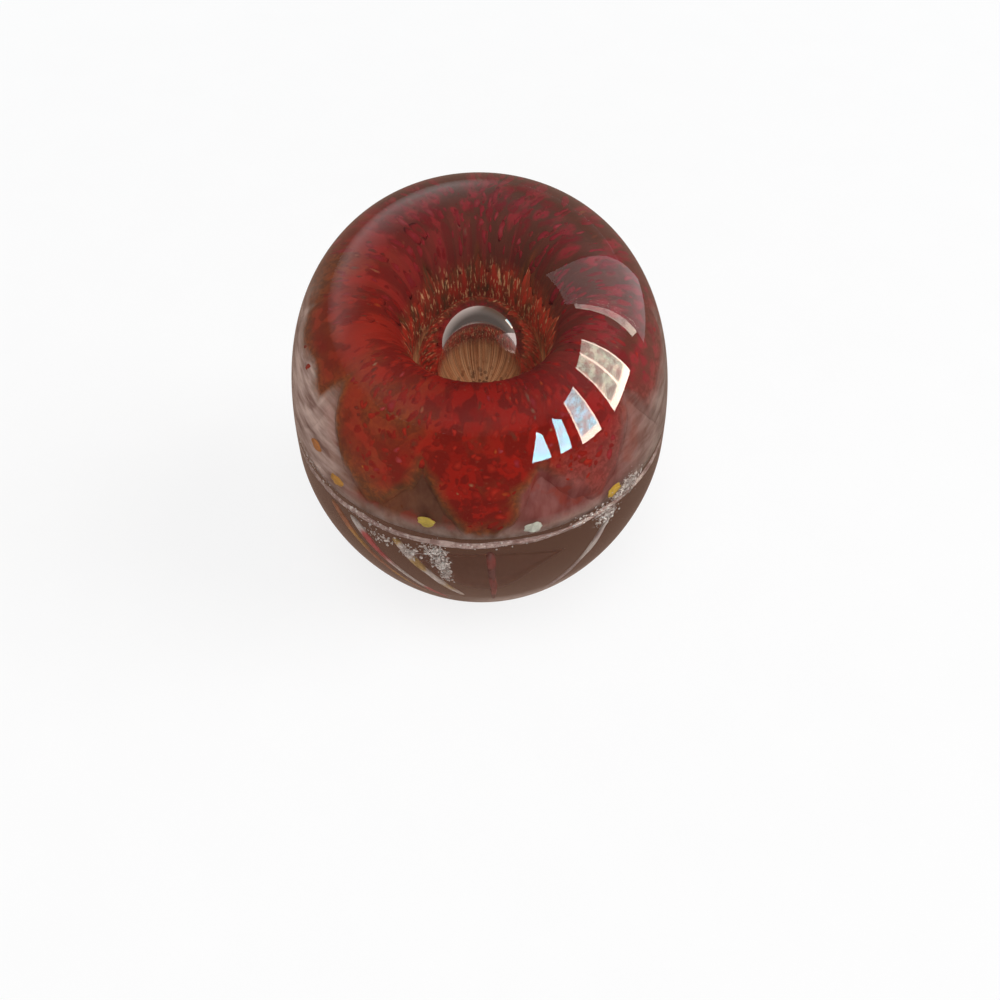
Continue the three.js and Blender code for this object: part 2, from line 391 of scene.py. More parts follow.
def noise(tree, place, scale, detail=2.0, rough=0.5):
    """Clouds of noise"""
    return add(tree, "TexNoise", {"Vector": place, "Scale": scale, "Detail": detail, "Roughness": rough})


def blend(tree, part, first, second, kind="MIX"):
    """A colour mixed from two others"""
    inputs = {"Factor": part, "A": first, "B": second}
    return add(tree, "Mix", inputs, data_type="RGBA", blend_type=kind)["Result"]


def mixed(tree, part, first, second):
    """A shader mixed from two others"""
    return add(tree, "MixShader", {0: part, 1: first, 2: second})[0]


def spread(tree, value, low, high, start=0.0, end=1.0):
    """A value carried from one range to another, held at both ends"""
    inputs = {"Value": value, "From Min": low, "From Max": high, "To Min": start, "To Max": end}
    return add(tree, "MapRange", inputs, clamp=True)["Result"]


def within(tree, value, reach, start=0.0, end=1.0):
    """The same for a place, from a range in millimetres"""
    return spread(tree, value, reach[0] * MM, reach[1] * MM, start, end)


def finish_of(name, inputs):
    """A new material with values on its Principled node, its tree, and the piece's own coordinates"""
    material = bpy.data.materials.new(name)
    material.use_nodes = True
    tree = material.node_tree
    filled(tree, tree.nodes["Principled BSDF"], inputs)
    return material, tree, add(tree, "TexCoord")["Object"]


def surfaced(material, shade, height, rough, strength, depth):
    """A material with a colour, and with a height that sets its roughness, between two values, and its bump,
    of a strength and a depth in millimetres"""
    tree = material.node_tree
    bump = add(tree, "Bump", {"Height": height, "Strength": strength, "Distance": depth * MM})["Normal"]
    rough = spread(tree, height, 0.3, 0.7, *rough)
    filled(tree, tree.nodes["Principled BSDF"], {"Base Color": shade, "Roughness": rough, "Normal": bump})
    return material


def group_of(name, values, colours):
    """A new node group that takes a place, some values and some colours, and puts out a colour and a height:
    its tree, what it is given, and its end node"""
    tree = bpy.data.node_groups.new(name, "ShaderNodeTree")
    sockets = [("Place", "INPUT", "Vector"), ("Colour", "OUTPUT", "Color"), ("Height", "OUTPUT", "Float")]
    sockets += [(label, "INPUT", "Float") for label in values]
    sockets += [(label, "INPUT", "Color") for label in colours]
    for label, side, kind in sockets:
        tree.interface.new_socket(label, in_out=side, socket_type="NodeSocket" + kind)
    return tree, tree.nodes.new("NodeGroupInput").outputs, tree.nodes.new("NodeGroupOutput")


def fed(tree, group, **inputs):
    """A group placed in a material: its colour and its height"""
    out = add(tree, "Group", inputs, node_tree=group)
    return out["Colour"], out["Height"]


def off_axis(tree, place):
    """The part of a place that lies across the axis"""
    return vector(tree, "MULTIPLY", place, (1, 1, 0))


def drawn(tree, place, count, rate):
    """Coordinates that draw out towards the bubble as the melted glass does: the direction from the axis, a
    number of times round it, and the height less the distance from the axis, which grows up the side and
    over the crown and hardly changes down the funnel"""
    flat = off_axis(tree, place)
    wide = scaled(tree, vector(tree, "NORMALIZE", flat), count)
    run = worked(tree, "SUBTRACT", parts(tree, place)["Z"], length(tree, flat))
    lift = add(tree, "CombineXYZ", {"Z": worked(tree, "MULTIPLY", run, rate)})[0]
    return vector(tree, "ADD", wide, lift)


def melted_frit():
    """Melted frit: soft petals, the cells of a smooth pattern in bent drawn coordinates, each somewhere
    between two tones, a third tone in the gaps between them as far as a mask lets it, and fine specks"""
    tree, given, end = group_of("melted frit", ["Open"], ["Petal", "Shade", "Gap", "Speck"])
    spot = drawn(tree, given["Place"], 22.0, 600.0)
    even = vector(tree, "SUBTRACT", noise(tree, spot, 0.8)["Color"], (0.5, 0.5, 0.5))
    bent = vector(tree, "ADD", spot, scaled(tree, even, 1.8))
    inputs = {"Vector": bent, "Scale": 0.5, "Smoothness": 0.45, "Randomness": 1.0}
    cell = add(tree, "TexVoronoi", inputs, feature="SMOOTH_F1")
    pick = add(tree, "SeparateColor", {0: cell["Color"]})["Red"]
    petal = blend(tree, spread(tree, pick, 0.3, 0.7), given["Shade"], given["Petal"])
    cloud = noise(tree, bent, 1.5, 3.0, 0.6)["Fac"]
    border = spread(tree, cell["Distance"], 0.3, 0.58)
    spots = spread(tree, cloud, 0.5, 0.68, 0.0, 0.8)
    gap = worked(tree, "MULTIPLY", worked(tree, "MAXIMUM", border, spots), given["Open"])
    speck = spread(tree, noise(tree, bent, 3.4)["Fac"], 0.64, 0.76, 0.0, 0.55)
    body = blend(tree, gap, petal, given["Gap"])
    filled(tree, end, {"Colour": blend(tree, speck, body, given["Speck"]), "Height": cloud})
    return tree


def melted_grain():
    """Mottle of melted glass: a body colour with deeper clouds, pale specks where a cell's middle is near,
    and the cloud as a height"""
    tree, given, end = group_of("melted grain", ["Size"], ["Body", "Deep", "Speck"])
    cloud = noise(tree, given["Place"], given["Size"], 4.0, 0.65)["Fac"]
    fine = worked(tree, "MULTIPLY", given["Size"], 1.7)
    cell = add(tree, "TexVoronoi", {"Vector": given["Place"], "Scale": fine, "Randomness": 1.0})
    speck = spread(tree, cell["Distance"], 0.1, 0.24, 0.7, 0.0)
    body = blend(tree, spread(tree, cloud, 0.34, 0.66), given["Deep"], given["Body"])
    filled(tree, end, {"Colour": blend(tree, speck, body, given["Speck"]), "Height": cloud})
    return tree


def drawn_streaks():
    """Streaks drawn out along the body: noise in drawn coordinates, many times round the axis and slow along
    the body, so that each streak runs up and down"""
    tree, given, end = group_of("drawn streaks", ["Count", "Rate", "Soft"], ["Dark", "Light"])
    spot = drawn(tree, given["Place"], given["Count"], given["Rate"])
    height = noise(tree, spot, 1.0, 3.0, 0.6)["Fac"]
    start, stop = (worked(tree, kind, 0.5, given["Soft"]) for kind in ("SUBTRACT", "ADD"))
    part = spread(tree, height, start, stop)
    filled(tree, end, {"Colour": blend(tree, part, given["Dark"], given["Light"]), "Height": height})
    return tree


MELT = melted_frit()
GRAIN = melted_grain()
STREAKS = drawn_streaks()


def grained(tree, place, size, body, deep, speck):
    """The melted grain group in a material"""
    return fed(tree, GRAIN, Place=place, Size=size, Body=body, Deep=deep, Speck=speck)


def streaked(tree, place, count, rate, dark, light, soft=0.2):
    """The drawn streaks group in a material. The smaller the soft part is, the sharper a streak's edge"""
    return fed(tree, STREAKS, Place=place, Count=count, Rate=rate, Soft=soft, Dark=dark, Light=light)


def funnel_tones(tree, place):
    """Frit round the bubble: streaks of red and olive, duller at the back, with tan hairlines. On the right
    they are painted brighter: painted light, for the window's light that the bubble gathers there"""
    part = parts(tree, place)
    back = within(tree, part["Y"], (-2, 7))
    right = within(tree, part["X"], (1, 9))
    dark = blend(tree, back, (0.15, 0.028, 0.012), (0.11, 0.05, 0.024))
    light = blend(tree, back, (0.66, 0.030, 0.014), (0.38, 0.04, 0.024))
    # Painted light: brighter tones on the right for the window's light that the bubble gathers
    dark = blend(tree, right, dark, (0.27, 0.095, 0.042))
    light = blend(tree, right, light, (0.80, 0.085, 0.048))
    base, _ = streaked(tree, place, 13.0, 700.0, dark, light, 0.14)
    _, hair = streaked(tree, place, 34.0, 1500.0, (0, 0, 0), (1, 1, 1))
    return blend(tree, spread(tree, hair, 0.56, 0.68, 0.0, 0.85), base, (0.90, 0.60, 0.33))


# Streaks of the veil: times round the axis, rate along the body, dark and light tone, and softness
VEIL_STREAKS = {
    "olive": (10.0, 160.0, (0.08, 0.025, 0.013), (0.18, 0.075, 0.042)),
    "mauve": (11.0, 120.0, (0.16, 0.022, 0.019), (0.30, 0.105, 0.095)),
    "rust": (12.0, 200.0, (0.10, 0.022, 0.010), (0.27, 0.085, 0.032)),
    "dusty": (13.0, 260.0, (0.25, 0.16, 0.13), (0.50, 0.39, 0.35)),
    "pale": (4.0, 420.0, (0.25, 0.15, 0.13), (0.72, 0.57, 0.52), 0.16),
    "grey": (5.0, 420.0, (0.14, 0.115, 0.09), (0.43, 0.37, 0.33), 0.16),
}


def veil_tones(tree, place):
    """Thin frit under the lobes: rust and olive brown on the left, mauve brown on the right, with red spilt
    on them, dusty along the rim, and pale pinkish grey at the left side and grey at the right"""
    part = parts(tree, place)
    made = {name: streaked(tree, place, *facts) for name, facts in VEIL_STREAKS.items()}
    tone = {name: out[0] for name, out in made.items()}
    shade = blend(tree, within(tree, part["X"], (-4, 8)), tone["olive"], tone["mauve"])
    shade = blend(tree, within(tree, part["X"], (-10, -16)), shade, tone["rust"])
    spill = spread(tree, noise(tree, place, 240.0, 3.0)["Fac"], 0.52, 0.62, 0.0, 0.7)
    shade = blend(tree, spill, shade, (0.27, 0.032, 0.018))
    rim = within(tree, part["Z"], (RIM_HEIGHT, RIM_HEIGHT + 4), 1.0, 0.0)
    shade = blend(tree, rim, shade, tone["dusty"])
    shade = blend(tree, within(tree, part["X"], (20, 30), 0.0, 0.8), shade, tone["grey"])
    return blend(tree, within(tree, part["X"], (-20, -25.5)), shade, tone["pale"]), made["olive"][1]


def glass_finish(name, bend, body, dim, tint, density):
    """Glass that bends what is seen through it, but lets the light of lamps and of dull surfaces straight
    through to what it shuts in, with a tinted depth"""
    inputs = {"Transmission Weight": 1.0, "Roughness": 0.0, "IOR": bend, "Base Color": body}
    material, tree, _ = finish_of(name, inputs)
    path = add(tree, "LightPath")
    clear = add(tree, "BsdfTransparent", {"Color": dim})[0]
    dull = mixed(tree, path["Is Diffuse Ray"], tree.nodes["Principled BSDF"].outputs[0], clear)
    depth = add(tree, "VolumeAbsorption", {"Color": tint, "Density": density})[0]
    surface = mixed(tree, path["Is Shadow Ray"], dull, clear)
    filled(tree, tree.nodes["Material Output"], {"Surface": surface, "Volume": depth})
    return material


# Tones of the melted layer. The third and fourth are brighter copies of the first two: painted light on the
# left
SCARLET = (0.305, 0.0085, 0.004)
CRIMSON = (0.17, 0.0055, 0.003)
SCARLET_PAINTED_LIT = (0.375, 0.028, 0.015)
CRIMSON_PAINTED_LIT = (0.22, 0.014, 0.008)
MAUVE = (0.37, 0.040, 0.058)
PLUM = (0.22, 0.023, 0.033)


def faded_height(tree, x):
    """The height of faded_place, in metres"""
    low, high = FADE_HEIGHTS
    middle = within(tree, worked(tree, "ABSOLUTE", x), FADE_MIDDLE, low * MM, high * MM)
    left = within(tree, x, FADE_LEFT, 0.0, RAISED_LEFT * MM)
    right = within(tree, x, FADE_RIGHT, 0.0, RAISED_RIGHT * MM)
    return worked(tree, "ADD", middle, worked(tree, "ADD", left, right))


def red_tones(tree, place, part, patch):
    """Scarlet petals in front, painted brighter and warmer on the left as painted light, mauve ones at the
    back and on the right, with olive in the gaps between them at the back and in patches, and streaks in the
    funnel: colour and height"""
    far = worked(tree, "MULTIPLY_ADD", part["X"], SLANT, part["Y"])
    back = within(tree, far, BACK_REACH)
    # Painted light: on the left the petals take brighter copies of their tones
    lit = within(tree, part["X"], PAINTED_LIT_REACH)
    patches = spread(tree, patch, 0.52, 0.70, 0.0, 0.6)
    red, height = fed(
        tree, MELT, Place=place, Speck=(0.32, 0.08, 0.045),
        Petal=blend(tree, back, blend(tree, lit, SCARLET, SCARLET_PAINTED_LIT), MAUVE),
        Shade=blend(tree, back, blend(tree, lit, CRIMSON, CRIMSON_PAINTED_LIT), PLUM),
        Gap=blend(tree, back, (0.13, 0.022, 0.011), (0.11, 0.055, 0.040)),
        Open=worked(tree, "MAXIMUM", patches, within(tree, far, GAP_REACH, 0.0, 0.85)),
    )
    away = length(tree, off_axis(tree, place))
    dusk = worked(tree, "MULTIPLY", back, within(tree, away, DUSK_REACH, 0.0, 0.55))
    red = blend(tree, dusk, red, (0.11, 0.04, 0.026))
    return blend(tree, within(tree, away, STREAK_REACH), red, funnel_tones(tree, place)), height


def frit_finish():
    """The melted red layer. Towards its torn edge and below its fading height, both made ragged by patches,
    and where it is worn on the left, it turns brown, mauve brown on the right, and then into the veil"""
    material, tree, place = finish_of("melted red frit", {"Specular IOR Level": 0.05})
    part = parts(tree, place)
    patch = noise(tree, place, 75.0)["Fac"]
    red, height = red_tones(tree, place, part, patch)
    over = worked(tree, "SUBTRACT", part["Z"], faded_height(tree, part["X"]))
    tone = add(tree, "VertexColor", layer_name="tone")["Color"]
    torn = spread(tree, tone, 0.0, 1.0, TORN_DEPTH[0] * MM, TORN_DEPTH[1] * MM)
    ragged = worked(tree, "MULTIPLY_ADD", patch, PATCH_DEPTH * MM, worked(tree, "MINIMUM", over, torn))
    worn = within(tree, part["X"], WORN_REACH, 0.0, WORN_DEPTH * MM)
    ragged = worked(tree, "SUBTRACT", ragged, worn)
    mottle = spread(tree, height, 0.42, 0.6)
    brown = blend(tree, mottle, (0.11, 0.055, 0.022), (0.26, 0.085, 0.026))
    dull = blend(tree, mottle, (0.15, 0.035, 0.028), (0.29, 0.065, 0.055))
    brown = blend(tree, within(tree, part["X"], DULL_REACH), brown, dull)
    faded = blend(tree, within(tree, ragged, BROWN_STEP), veil_tones(tree, place)[0], brown)
    shade = blend(tree, within(tree, ragged, RED_STEP), faded, red)
    return surfaced(material, shade, height, (0.5, 0.8), 0.25, 0.2)


def toned_finish(name, size, dark, pale, rough, shine):
    """Opaque glass in its own tone, with darker clouds and paler specks in it"""
    material, tree, place = finish_of(name, {"Specular IOR Level": shine})
    tone = add(tree, "VertexColor", layer_name="tone")["Color"]
    cloud, height = grained(tree, place, size, (1, 1, 1), (dark, dark, dark), (pale, pale, pale))
    shade = blend(tree, 1.0, tone, cloud, "MULTIPLY")
    return surfaced(material, shade, height, (rough, rough + 0.3), 0.3, 0.2)


def cup_finish():
    """Tan frit drawn into fine streaks, red and olive towards the funnel, with dark dots at the bottom"""
    material, tree, place = finish_of("tan cup streaks", {"Specular IOR Level": 0.1})
    rise = parts(tree, place)["Z"]
    broad, height = streaked(tree, place, 9.0, 60.0, (0.70, 0.33, 0.15), (0.98, 0.72, 0.44))
    fine, _ = streaked(tree, place, 42.0, 90.0, (0.35, 0.28, 0.22), (1.1, 1.05, 1.0), 0.12)
    tan = blend(tree, 1.0, broad, fine, "MULTIPLY")
    both = blend(tree, within(tree, rise, (48.8, 51.2)), tan, funnel_tones(tree, place))
    cell = add(tree, "TexVoronoi", {"Vector": place, "Scale": 700.0})["Distance"]
    dots = spread(tree, cell, 0.30, 0.42, 1.0, 0.0)
    dots = worked(tree, "MULTIPLY", dots, within(tree, rise, (40.5, 46), 1.0, 0.0))
    return surfaced(material, blend(tree, dots, both, (0.06, 0.026, 0.014)), height, (0.4, 0.7), 0.5, 0.3)


def veil_finish():
    """The thin frit of the veil"""
    material, tree, place = finish_of("pale veil", {"Specular IOR Level": 0.15})
    return surfaced(material, *veil_tones(tree, place), (0.25, 0.5), 0.3, 0.2)


def grain_finish(name, inputs, size, tones, rough, strength, depth):
    """Opaque glass with a fine grain in three tones"""
    material, tree, place = finish_of(name, inputs)
    return surfaced(material, *grained(tree, place, size, *tones), rough, strength, depth)


def silver_finish(name, body, deep):
    """Silvery glass whose pale specks are painted glints, for the tiny bubbles in it that catch the light"""
    shine = {"Metallic": 0.2, "Specular IOR Level": 0.6}
    return grain_finish(name, shine, 500.0, (body, deep, (0.92, 0.88, 0.86)), (0.14, 0.4), 0.5, 0.3)


def casing():
    """Outside of the body as one closed turned skin: flat base, rounded edge, foot and dome, a little uneven
    as fire-polished glass is, and inside it the air of the bubble, a sphere whose faces look into the air"""
    edge = np.linspace(0, 1, 7)
    z = np.linspace(BASE_EDGE, WIDEST_HEIGHT, 70)
    r = foot_radius(z)
    corner_r = np.interp(edge, [0, 1], [BASE_RADIUS - BASE_EDGE, r[0]])
    corner_z = BASE_EDGE * (1 - np.sqrt(1 - edge**2))
    dome_r, dome_z = dome_line(np.linspace(0, 1, 90)[1:-1])
    flat = np.linspace(0.5, BASE_RADIUS - BASE_EDGE, 12)[:-1]
    profile_r = np.concatenate([flat, corner_r[:-1], r, dome_r])
    profile_z = np.concatenate([0 * flat, corner_z[:-1], z, dome_z])
    rings = turned(profile_r, profile_z, 256)
    angle = np.arctan2(rings[..., 0], -rings[..., 1])
    swell = SWELL * ripple(angle, rings[..., 2], 7, 4, 0.12) * smooth(rings[..., 2] / SWELL_REACH)
    away = np.hypot(rings[..., 0], rings[..., 1])
    rings[..., :2] *= (1 + swell * smooth(away / SWELL_REACH) / BODY_RADIUS)[..., None]
    outside = capped(rings, (0, 0, 0), (0, 0, HEIGHT))
    t = np.linspace(0, math.pi, 66)[1:-1]
    air = turned(BUBBLE_RADIUS * np.sin(t), BUBBLE_HEIGHT - BUBBLE_RADIUS * np.cos(t), 128)
    low, top = BUBBLE_HEIGHT - BUBBLE_RADIUS, BUBBLE_HEIGHT + BUBBLE_RADIUS
    points, faces, spots = capped(air, (0, 0, low), (0, 0, top))
    inward = [face[::-1] for face in faces]
    back = np.concatenate([part[::-1] for part in np.split(spots, np.cumsum([len(f) for f in faces])[:-1])])
    return joined(outside, (points, inward, back))


def core():
    """The smoky core as a turned skin: base, side, shoulder, and the bed under the veil and the cup"""
    z = np.linspace(CORE_LIFT, SHOULDER_HEIGHT, 40)
    side_r, side_z = side_line(np.linspace(0, 1, 40))
    funnel_r, funnel_z = funnel_line(np.linspace(0, 1, 24)[1:])
    bed_r, bed_z = moved(np.append(side_r, funnel_r), np.append(side_z, funnel_z), -CORE_BED)
    low_r, low_z = cup_line(np.linspace(0, 1, 24)[1:-1])
    scale = (CUP_RADIUS + CORE_BED) / CUP_RADIUS
    r = np.concatenate([core_radius(z), [bed_r[0]], bed_r, low_r * scale])
    top = np.concatenate([z, [SHOULDER_HEIGHT], bed_z, BUBBLE_HEIGHT + (low_z - BUBBLE_HEIGHT) * scale])
    end = BUBBLE_HEIGHT - CUP_RADIUS * scale
    return capped(turned(r, top, 144), (0, 0, CORE_LIFT), (0, 0, end))


def base_disc():
    """The ground face of the base: a thin turned disc just inside the flat of the casing, with a lip that
    follows the casing's rounded edge a little way up"""
    rise = np.array([0.07, 0.12, 0.2, 0.35, 0.5])
    inset = 0.06
    flat = BASE_RADIUS - BASE_EDGE
    part = np.sqrt(1 - (1 - np.minimum(rise / BASE_EDGE, 1)) ** 2)
    corner = flat + part * (foot_radius(BASE_EDGE) - flat)
    edge = np.where(rise < BASE_EDGE, corner, foot_radius(rise)) - inset
    low, top = np.linspace(1, edge[0] - 0.1, 12), np.linspace(edge[1] - 0.2, 1, 12)
    r = np.concatenate([low, edge, edge[:0:-1] - inset, top])
    z = np.concatenate([np.full(12, rise[0]), rise, rise[:0:-1], np.full(12, rise[1])])
    return capped(turned(r, z, 96), (0, 0, rise[0]), (0, 0, rise[1]))


def bell_layer():
    """The frit layer as a ring-shaped skin: the middle line from the torn edge over the crown into the
    funnel, moved out and in by a thickness that swells and thins, and melted onto the veil along the edge.
    Its tones grow from 0 at the edge to 1 where the red is whole"""
    angle = np.linspace(-math.pi, math.pi, 324, endpoint=False)
    start = side_place(edge_lift(angle))
    climb = np.linspace(0, 1, 34)[:, None]
    side_r, side_z = side_line(start + (1 - start) * climb)
    dive = np.linspace(0, funnel_place(CUP_LIFT), 24)[1:, None] + 0 * angle
    funnel_r, funnel_z = funnel_line(dive)
    r, z = np.concatenate([side_r, funnel_r]), np.concatenate([side_z, funnel_z])
    depth = sink(angle, z)
    half = (BELL_HALF + 0.04 * ripple(angle, z, 9, 40, 1.2)) * (1 - SINK_THINNING * depth / SINK)
    half[len(side_r):] *= 1 - 0.3 * smooth((BUBBLE_HEIGHT + CUP_LIFT + MELD - funnel_z) / MELD)
    outer_r, outer_z = moved(r, z, half - depth)
    inner_r, inner_z = moved(r, z, -half - depth)
    loop_r = np.concatenate([outer_r, inner_r[::-1]])
    loop_z = np.concatenate([outer_z, inner_z[::-1]])
    over = inside_edge(angle, z)
    tones = np.repeat(np.concatenate([over, over[::-1]]).reshape(-1, 1), 3, 1)
    return wrapped(round_axis(loop_r, angle, loop_z)), tones


def frit_line():
    """The middle line from the rim to the end of the funnel at even steps: length along it, radius, height
    and direction"""
    side_r, side_z = side_line(np.linspace(0, 1, 400))
    funnel_r, funnel_z = funnel_line(np.linspace(0, funnel_place(GRAIN_LIFT), 200)[1:])
    r, z = np.append(side_r, funnel_r), np.append(side_z, funnel_z)
    run = np.append(0, np.cumsum(np.hypot(np.diff(r), np.diff(z))))
    even = np.linspace(0, run[-1], 500)
    r, z = np.interp(even, run, r), np.interp(even, run, z)
    return even, r, z, np.gradient(r, even), np.gradient(z, even)


# Tones of the grains
TONES = {
    "crimson": (0.36, 0.016, 0.009),
    "scarlet": (0.50, 0.030, 0.014),
    "ox blood": (0.19, 0.009, 0.006),
    "mauve": (0.34, 0.034, 0.054),
    "pink": (0.44, 0.075, 0.095),
    "olive": (0.070, 0.045, 0.024),
    "tan": (0.38, 0.200, 0.100),
    "cream": (0.50, 0.360, 0.220),
    "orange": (0.48, 0.100, 0.020),
    "amber": (0.52, 0.270, 0.040),
    "sage": (0.160, 0.130, 0.090),
}


def tones_for(angle, low, pull, fine):
    """A tone for each grain, drawn by weights that change over the bell: mauve at the back and on the right,
    orange and amber low on the left, tan in the funnel, and more olive among the fine grains"""
    front, back = np.cos(angle).clip(0), smooth((0.2 - np.cos(angle)) / 0.8)
    right, left = np.sin(angle).clip(0), (-np.sin(angle)).clip(0)
    weights = {
        "crimson": 2.4 * (1 - back),
        "scarlet": (1.0 + 0.6 * front + 0.4 * left) * (1 - back),
        "ox blood": 0.8 + 0.8 * front,
        "mauve": 0.2 + 3.0 * back + 1.2 * right,
        "pink": 0.1 + 0.4 * back + 0.3 * right,
        "olive": 0.2 + 0.4 * back + 2.0 * fine * (0.4 + back + 0.5 * pull),
        "tan": 0.01 + 0.12 * pull * (0.3 + 1.5 * fine) + 0.1 * fine,
        "cream": 0.01 + 0.03 * pull * fine,
        "orange": (0.03 + 0.7 * low * (0.3 + left)) * (1 - back),
        "amber": (0.01 + 0.6 * low**2 * (0.2 + left)) * (1 - back),
        "sage": 0.05 + 0.4 * low * fine,
    }
    ladder = np.cumsum(np.stack(list(weights.values()), -1), -1)
    pick = (chance.random(len(angle))[:, None] * ladder[:, -1:] > ladder).sum(-1)
    shade = chance.uniform(0.85, 1.15, (len(angle), 1)) * chance.uniform(0.95, 1.05, (len(angle), 3))
    return np.array([TONES[name] for name in weights])[pick] * shade


def bed_tones(place):
    """The middle tone of the melted layer under each grain: red in front, mauve at the back and the right,
    and brighter on the left as painted light
    """
    share = carried(place[:, 1] + SLANT * place[:, 0], *BACK_REACH)[:, None]
    lit = carried(place[:, 0], *PAINTED_LIT_REACH)[:, None]
    pairs = ((SCARLET, CRIMSON), (SCARLET_PAINTED_LIT, CRIMSON_PAINTED_LIT), (MAUVE, PLUM))
    # The second pair is a brighter copy of the first: painted light on the left
    plain, warm, back = (np.mean(pair, 0) for pair in pairs)
    return (plain * (1 - lit) + warm * lit) * (1 - share) + back * share


def lenses(place, along, across, out, run, width):
    """Melted grains as lenses: an edge whose radius swings by two and three waves round it, a smaller ring
    raised over it, and a middle point above and below"""
    sides = GRAIN_SIDES
    a = np.linspace(0, TURN, sides, endpoint=False)
    count = len(place)
    phase = chance.uniform(0, TURN, (2, count, 1))
    swing = 1 + 0.17 * np.sin(2 * a + phase[0]) + 0.13 * np.sin(3 * a + phase[1])
    arm = along[:, None] * (run[:, None] * np.cos(a) * swing)[..., None]
    arm = arm + across[:, None] * (width[:, None] * np.sin(a) * swing)[..., None]
    rise = (out * GRAIN_THICKNESS)[:, None]
    edge = place[:, None] + arm
    ring = place[:, None] + 0.62 * arm + 0.8 * rise
    points = np.concatenate([edge, ring, place[:, None] + rise, place[:, None] - 0.4 * rise], 1)
    j = np.arange(sides)
    k = (j + 1) % sides
    top, low = np.full(sides, 2 * sides), np.full(sides, 2 * sides + 1)
    corners = ((j, k, k + sides), (j, k + sides, j + sides), (j + sides, k + sides, top), (k, j, low))
    one = np.concatenate([np.stack(three, -1) for three in corners])
    faces = one[None] + (np.arange(count) * (2 * sides + 2))[:, None, None]
    flat = points.reshape(-1, 3)
    faces = faces.reshape(-1, 3)
    spots = flat[faces].reshape(-1, 3)[:, [0, 2]] / (2 * BODY_RADIUS) + [0.5, 0]
    return flat, faces.tolist(), spots


def sown(spacing, size, fine):
    """Grains over the bell in rows along its middle line, each place shifted at random, kept within the torn
    edge. Near the crown and in the funnel they are drawn out towards the bubble"""
    even, line_r, line_z, line_dr, line_dz = frit_line()
    rows = np.arange(spacing / 2, even[-1], spacing)
    counts = np.round(TURN * np.interp(rows, even, line_r) / spacing).astype(int)
    run = np.repeat(rows, counts) + spacing * chance.uniform(-0.5, 0.5, counts.sum())
    turn = np.arange(counts.sum()) - np.repeat(np.cumsum(counts) - counts, counts)
    angle = TURN * (turn + chance.uniform(-0.45, 0.45, counts.sum())) / np.repeat(counts, counts)
    angle = angle + np.repeat(chance.uniform(0, TURN, len(rows)), counts)
    z = np.interp(run, even, line_z)
    x = np.interp(run, even, line_r) * np.sin(angle)
    over = z - faded_place(x) + chance.normal(0, 1.4, len(z))
    torn = inside_edge(angle, z) + chance.normal(0, 0.12, len(z))
    least = KEPT_INSIDE + KEPT_LEFT * carried(-x, *SPARSE) + KEPT_RIGHT * carried(x, *SPARSE)
    kept = (torn > least) & (over > KEPT_OVER) | (run >= even[-1] * ON_SIDE)
    run, angle, z, over = run[kept], angle[kept], z[kept], over[kept]
    r, dr, dz = (np.interp(run, even, part) for part in (line_r, line_dr, line_dz))
    pull = smooth((run / even[-1] - 0.5) / 0.3)
    low = 1 - smooth(over / 9)
    up = round_axis(dr, angle, dz)
    out = round_axis(dz, angle, -dr)
    side = np.stack([np.cos(angle), np.sin(angle), 0 * angle], -1)
    spin = chance.uniform(-QUARTER, QUARTER, len(angle)) * (1 - pull)
    along = up * np.cos(spin)[:, None] + side * np.sin(spin)[:, None]
    across = side * np.cos(spin)[:, None] - up * np.sin(spin)[:, None]
    scale = size * chance.uniform(0.65, 1.25, len(angle))
    tall = scale * (1 + chance.uniform(0.1, 0.5, len(angle)) + 0.3 * pull)
    wide = scale * (1 - 0.3 * pull) * chance.uniform(0.75, 1.1, len(angle))
    lift = (BELL_HALF - GRAIN_DEPTH) - sink(angle, z) * (1 + SINK_THINNING * BELL_HALF / SINK)
    place = round_axis(r, angle, z) + out * lift[:, None]
    skin = lenses(place, along, across, out, tall, wide)
    tone, bed = tones_for(angle, low, pull, fine), bed_tones(place)
    rings = [bed] * GRAIN_SIDES + [0.9 * bed + 0.1 * tone] * GRAIN_SIDES
    return skin, np.stack(rings + [0.35 * bed + 0.65 * tone, bed], 1).reshape(-1, 3)


def grains():
    """Broad grains with fine ones over them"""
    broad, broad_tones = sown(2.4, 0.95, 0)
    fine, fine_tones = sown(2.0, 0.55, 1)
    return joined(broad, fine), np.concatenate([broad_tones, fine_tones])


def cup():
    """The cup as a turned skin, from its lowest point up the outside, over the lip and down the inside, with
    fine ridges round it that die out at the bottom. Its lip melts away under the end of the bell"""
    wall_r, wall_z = funnel_line(np.linspace(funnel_place(CUP_LIFT + MELD), 1, 24))
    low_r, low_z = cup_line(np.linspace(0, 1, 30)[1:-1])
    r, z = np.append(wall_r, low_r), np.append(wall_z, low_z)
    outer_r, outer_z = moved(r, z, -CUP_OUT)
    lip = smooth((BUBBLE_HEIGHT + CUP_LIFT + MELD - z) / (1.5 * MELD))
    inner_r, inner_z = moved(r, z, CUP_IN * lip + LIP * (1 - lip))
    rings = turned(np.append(outer_r[::-1], inner_r), np.append(outer_z[::-1], inner_z), 240)
    angle = np.arctan2(rings[..., 0], -rings[..., 1])
    away = np.hypot(rings[..., 0], rings[..., 1])
    ridge = 0.07 * ripple(angle, rings[..., 2], 6, 70, 0.2) * smooth(away / 7)
    rings[..., :2] *= (1 + ridge / np.maximum(away, 1))[..., None]
    lowest = BUBBLE_HEIGHT - CUP_RADIUS
    return capped(rings, (0, 0, lowest - CUP_OUT), (0, 0, lowest + CUP_IN))


